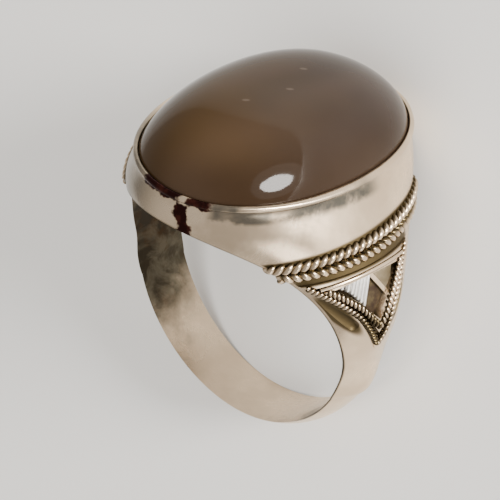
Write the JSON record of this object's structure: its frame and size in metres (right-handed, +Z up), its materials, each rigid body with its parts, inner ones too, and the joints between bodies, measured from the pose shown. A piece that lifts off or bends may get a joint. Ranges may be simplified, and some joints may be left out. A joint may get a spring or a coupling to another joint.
{
  "type": "cabochon ring",
  "caption": "Silver finger ring with a tall oval collar holding a polished agate cabochon, twin rope wires and a wired shield on each shoulder.",
  "frame": {"origin": "bottom centre of the ring's box, as it lies on its side", "axes": "+Y across the floor from the stone to the back of the shank, +X across the ring, +Z up from the floor; the stone faces -Y"},
  "size_m": [0.023, 0.0266, 0.0208],
  "materials": {
    "silver": "polished silver, worn warm, dark in its recesses",
    "agate": "polished grey-brown agate"
  },
  "bodies": {
    "root": {"silver_ring": "silver", "agate_cabochon": "agate"}
  },
  "joints": []
}
